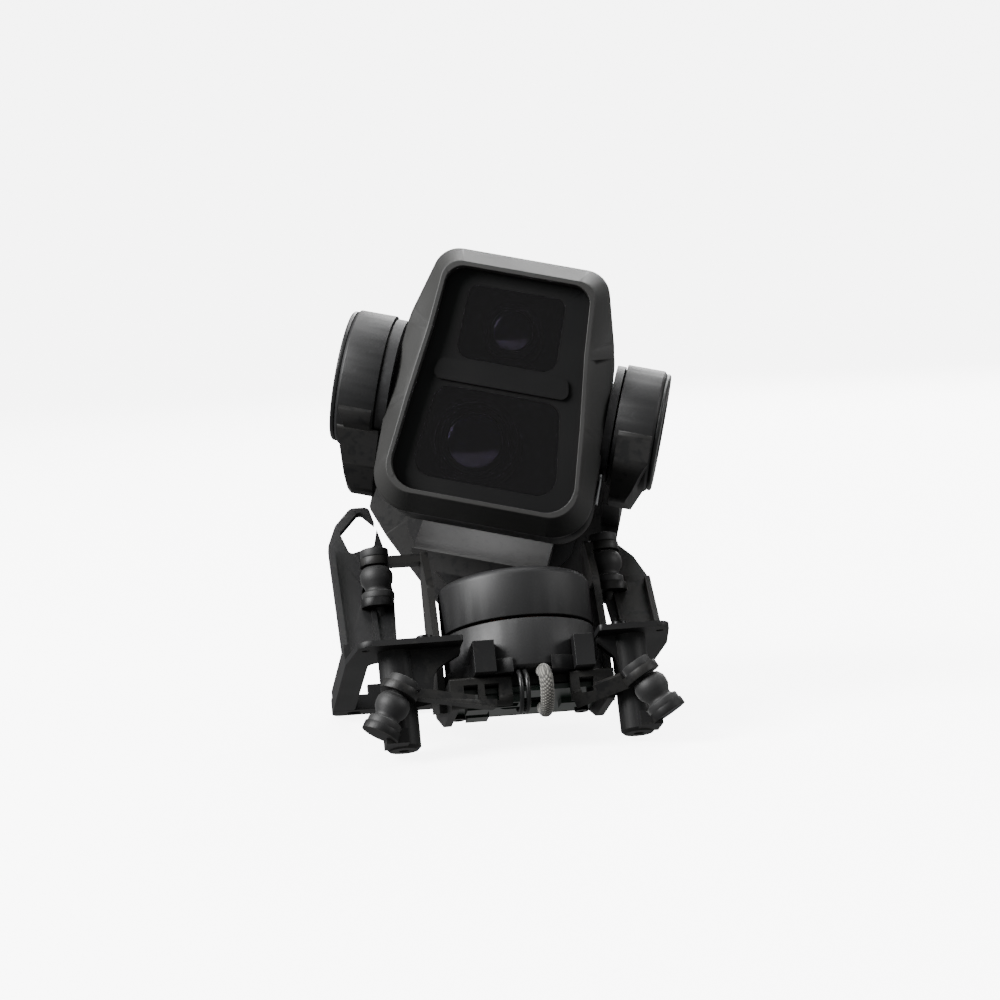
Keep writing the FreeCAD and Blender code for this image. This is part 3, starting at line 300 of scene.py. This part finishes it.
# %% Glass finishes
def window_glass(name, tint, clarity, roughness, **sockets):
    material, tree, shader, place = new_material(name, roughness, 0.0, IOR=1.5, **sockets)
    shader.inputs["Base Color"].default_value = linear(tint)
    shader.inputs["Transmission Weight"].default_value = clarity
    wiping = add_node(tree, "ShaderNodeTexNoise", Vector=(place, "Object"), Scale=1 / (3.5 * MM),
                      Detail=6.0, Distortion=1.2)
    gloss = add_node(tree, "ShaderNodeMapRange", _0=(wiping, "Fac"), _1=0.4, _2=0.75, _3=roughness,
                     _4=roughness + 0.05)
    tree.links.new(gloss.outputs[0], shader.inputs["Roughness"])
    waves = add_node(tree, "ShaderNodeTexNoise", Vector=(place, "Object"), Scale=1 / (6 * MM))
    bump = add_node(tree, "ShaderNodeBump", Height=(waves, "Fac"), Strength=0.04, Distance=0.05 * MM)
    tree.links.new(bump.outputs[0], shader.inputs["Normal"])
    return material


FINISHES["window_glass"] = window_glass("tinted_window_glass", "77727c", 1.0, 0.02)
FINISHES["lens_glass"] = window_glass("coated_lens_glass", "0d0a14", 0.0, 0.02, Coat_Weight=0.6,
                                      Coat_Roughness=0.01, Coat_Tint=(0.55, 0.45, 1.0, 1.0))
print("glass finishes ready")

# %% [markdown]
# The braided sleeve is woven from fine grey yarn.  Two wave patterns that run against each other
# make the diagonal basket of a braid, and their product is both its relief and its colour: the low
# parts of the weave are painted darker, as painted shade between the strands.

# %% Braid finish
def braid_finish(name, dark, light, yarn_mm):
    material, tree, shader, place = new_material(name, 0.7, 0.0, Sheen_Weight=0.3)
    strands = []
    for lean in (0.7, -0.7):
        turned = add_node(tree, "ShaderNodeMapping", Vector=(place, "Object"), Rotation=(0.4, lean, lean))
        strands.append(add_node(tree, "ShaderNodeTexWave", Vector=(turned, "Vector"),
                                Scale=0.3 / (yarn_mm * MM),
                                Distortion=0.6, Detail=1.0))
    weave = add_node(tree, "ShaderNodeMath", {"operation": "MULTIPLY"}, _0=(strands[0], "Fac"),
                     _1=(strands[1], "Fac"))
    # Painted shade: the low parts of the weave, between the strands, are painted darker than the grey yarn.
    tone = ramp(tree, (weave, 0), 0.02, 0.5, linear(dark), linear(light))
    tree.links.new(tone.outputs["Color"], shader.inputs["Base Color"])
    bump = add_node(tree, "ShaderNodeBump", Height=(weave, 0), Strength=0.7, Distance=0.12 * MM)
    tree.links.new(bump.outputs[0], shader.inputs["Normal"])
    return material


FINISHES["braid"] = braid_finish("grey_braided_yarn", "2f2e2b", "7d7b74", 0.35)
print("braid finish ready")

# %% [markdown]
# Each imported part names the finish it was designed for.  The frame keeps that name as a material
# slot on the node, so the finishes above are put in by slot, and nothing is left in plain grey.  The
# camera's rear shell alone gets a much darker copy of the shell finish instead, as painted shade.

# %% Finishes on the engineering parts
SLOT_OF = {part["node"]: part["material_slot"] for part in frame["record"]["subparts"]}
# Painted shade: the rear shell is the same plastic as the bezel, painted much darker because its underside sits in
# shadow below the head.
FINISHES["rear_shell"] = grained("polycarbonate_painted_shade", "0c0c0c", "111111", 0.18, 0.58, 0.45,
                                 Specular_IOR_Level=0.3)
for name, node in NODES.items():
    finish_of_node = FINISHES["rear_shell" if name == "camera_rear_shell" else SLOT_OF[name]]
    if not node.material_slots:
        node.data.materials.append(finish_of_node)
    for material_slot in node.material_slots:
        material_slot.material = finish_of_node
print("finished", len(NODES), "nodes from", len(FINISHES), "finishes")

# %% [markdown]
# Turned pieces share one recipe.  A circle is drawn, then its rim is extruded and resized again and
# again down a list of radii and heights, the way a potter pulls up a wall.  A bevel rounds every
# step, and the finished mesh is moved to where the piece sits.

# %% Turned pieces
def settle(piece, name, matrix, finish_name, bevel_mm=0.0, segments=2, angle=30):
    """Bevels, smooths, moves the mesh to its place and gives it a finish."""
    piece.name = name
    if bevel_mm:
        bpy.ops.object.modifier_add(type="BEVEL")
        bevel = piece.modifiers[-1]
        bevel.width, bevel.segments, bevel.limit_method = bevel_mm * MM, segments, "ANGLE"
        bevel.angle_limit = math.radians(angle)
        bpy.ops.object.modifier_apply(modifier=bevel.name)
    bpy.ops.object.shade_smooth_by_angle(angle=math.radians(40))
    piece.data.transform(matrix)
    piece.data.materials.clear()
    piece.data.materials.append(FINISHES[finish_name])
    return piece


def turned(name, profile, matrix, finish_name, sides=48, bevel_mm=0.06):
    """A closed shape turned about Z from (radius, height) pairs in millimetres, first and last capped."""
    deselect_all()
    radius, height = profile[0]
    bpy.ops.mesh.primitive_circle_add(vertices=sides, radius=radius * MM, fill_type="NGON",
                                      location=(0, 0, 0))
    piece = bpy.context.object
    bpy.ops.object.mode_set(mode="EDIT")
    bpy.ops.mesh.select_all(action="SELECT")
    bpy.ops.transform.translate(value=(0, 0, height * MM))
    for next_radius, next_height in profile[1:]:
        bpy.ops.mesh.extrude_region_move(
            TRANSFORM_OT_translate={"value": (0, 0, (next_height - height) * MM)})
        ratio = next_radius / radius
        bpy.ops.transform.resize(value=(ratio, ratio, 1), center_override=(0, 0, next_height * MM))
        radius, height = next_radius, next_height
    bpy.ops.mesh.select_all(action="SELECT")
    bpy.ops.mesh.normals_make_consistent(inside=False)
    bpy.ops.object.mode_set(mode="OBJECT")
    return settle(piece, name, matrix, finish_name, bevel_mm)


def ring(name, radius, thickness, matrix, finish_name):
    """A round wire ring about Z, radius and thickness in millimetres."""
    deselect_all()
    bpy.ops.mesh.primitive_torus_add(major_radius=radius * MM, minor_radius=thickness / 2 * MM,
                                     major_segments=64, minor_segments=10, location=(0, 0, 0))
    return settle(bpy.context.object, name, matrix, finish_name)


def middle_of(node):
    low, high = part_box(node)
    return (Vector(low) + Vector(high)) / 2


print("turning recipe ready")

# %% [markdown]
# The four dampers are soft silicone bellows.  Each has a disc that sits on the bracket, a thin neck
# that the plate's eye grips, a fat belly that squashes, and a foot with a pulled-through tail.

# %% Silicone dampers
DAMPER_LENGTH = 8.4
BELLOWS = [(1.5, -0.05), (2.25, 0.0), (2.25, 1.3), (1.48, 1.55), (1.48, 2.75), (2.1, 3.05), (2.58, 3.9),
           (2.62, 4.6), (2.5, 5.4), (2.0, 6.2), (1.9, 6.6), (2.0, 6.9), (2.6, 7.1), (2.6, 8.1),
           (2.35, 8.4), (1.2, 8.4)]
SPLAY = 29.0                    # how far the front dampers lean outwards, in degrees
for end in ("front", "rear"):
    for side_name, side in (("left", -1), ("right", 1)):
        node = f"damper_{end}_{side_name}"
        down = Vector((side * math.sin(math.radians(SPLAY)), 0, -math.cos(math.radians(SPLAY))))
        if end == "rear":
            down = Vector((0, 0, -1))
        down = PLATE.to_3x3() @ down
        start = middle_of(node) - down * DAMPER_LENGTH / 2 * MM
        place = Matrix.Translation(start) @ down.to_track_quat("Z", "Y").to_matrix().to_4x4()
        damper = turned(f"{node}_bellows", BELLOWS, place, "damper_rubber", bevel_mm=0.12)
        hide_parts(node)
        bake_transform(damper)
        print(damper.name, len(damper.data.polygons), "faces")

# %% [markdown]
# Behind the two dark windows sit the tele lens, above, and the wide lens, below and to one side.
# Fine retaining rings step down into each barrel, and they catch just enough light to be seen
# through the glass.  They are placed in the camera's own axes, in millimetres from the pitch axis.

# %% Lens rings
RING_FRONT = -9.2               # just inside the mouths of the barrels
LENSES = {"tele": ((0.0, 10.6), (3.95, 3.3, 2.6)), "wide": ((-2.6, -7.5), (6.2, 5.4, 4.5, 3.6))}
for lens, (centre_of_lens, radii) in LENSES.items():
    for count, radius in enumerate(radii):
        depth = RING_FRONT + 0.22 * count
        place = PITCH @ Matrix.Translation(Vector((centre_of_lens[0], depth, centre_of_lens[1])) * MM)
        place = place @ Matrix.Rotation(math.radians(90), 4, "X")
        lens_ring = ring(f"{lens}_retaining_ring_{count + 1}", radius, 0.24, place, "screw_steel")
        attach(lens_ring, "camera")
    print(lens, "lens has", len(radii), "rings")

# %% [markdown]
# Small sheet parts are cubes that are scaled to size and pulled into shape.  A bent tab holds the
# idler's side of the head, and a row of shallow ribs stiffens the back of the camera's shell.

# %% Blocks
def block(name, size, at, axes, finish_name, bevel_mm=0.1, pulls=()):
    """A box of size, its centre at a point in a link's own axes; pulls extrude the face towards +Z."""
    deselect_all()
    bpy.ops.mesh.primitive_cube_add(size=1, location=(0, 0, 0))
    piece = bpy.context.object
    bpy.ops.object.mode_set(mode="EDIT")
    bpy.ops.mesh.select_all(action="SELECT")
    bpy.ops.transform.resize(value=[side * MM for side in size], center_override=(0, 0, 0))
    for pull in pulls:
        bpy.ops.mesh.select_mode(type="FACE")
        bpy.ops.mesh.select_all(action="DESELECT")
        block_mesh = bmesh.from_edit_mesh(piece.data)
        top_face = max(block_mesh.faces, key=lambda face: face.calc_center_median().dot(Vector(pull[1])))
        top_face.select = True
        bmesh.update_edit_mesh(piece.data)
        bpy.ops.mesh.extrude_region_move(TRANSFORM_OT_translate={"value": Vector(pull[0]) * MM})
    bpy.ops.object.mode_set(mode="OBJECT")
    place = axes @ Matrix.Translation(Vector(at) * MM)
    return settle(piece, name, place, finish_name, bevel_mm)


tab = block("idler_side_tab", (0.5, 1.6, 4.2), (17.72, -3.4, -11.4), PITCH, "heat_spreader", 0.12,
            pulls=[((0, 0, 0.5), (0, 0, 1)), ((0, -1.8, 0), (0, -1, 0.4))])
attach(tab, "camera")
for count in range(6):
    rib = block(f"rear_shell_rib_{count + 1}", (15.0, 0.5, 0.7), (0, 10.66, 9.0 - 3.0 * count), PITCH,
                "camera_shell", 0.16)
    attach(rib, "camera")
print("side tab and rear ribs")

# %% [markdown]
# Cast and moulded parts never have razor edges.  The engineering meshes are welded, then given a
# narrow bevel with hardened normals, so every edge draws a fine line of light and flat faces stay flat.

# %% Soft edges
SOFT = {"camera_front_bezel": 0.16, "camera_rear_shell": 0.12, "lens_panel": 0.12, "roll_yoke": 0.14,
        "damping_plate": 0.10, "bracket_left_frame": 0.12, "bracket_right_frame": 0.12,
        "bracket_left_panel": 0.12, "bracket_right_panel": 0.12, "bracket_rear_bridge": 0.12,
        "yaw_motor_cradle": 0.10, "yaw_rotor_cap": 0.14, "yaw_stator_housing": 0.08,
        "pitch_stator_housing": 0.08, "idler_housing": 0.08, "pitch_motor_cap": 0.06, "idler_cap": 0.06,
        "yaw_arm": 0.14, "yaw_arm_cover": 0.10}
for name, width in SOFT.items():
    node = NODES[name]
    weld = node.modifiers.new("weld", "WELD")
    weld.merge_threshold = 0.001 * MM
    soften = node.modifiers.new("soften", "BEVEL")
    soften.width, soften.segments, soften.limit_method = width * MM, 2, "ANGLE"
    soften.angle_limit = math.radians(35)
    soften.harden_normals = True
print("softened", len(SOFT), "parts")
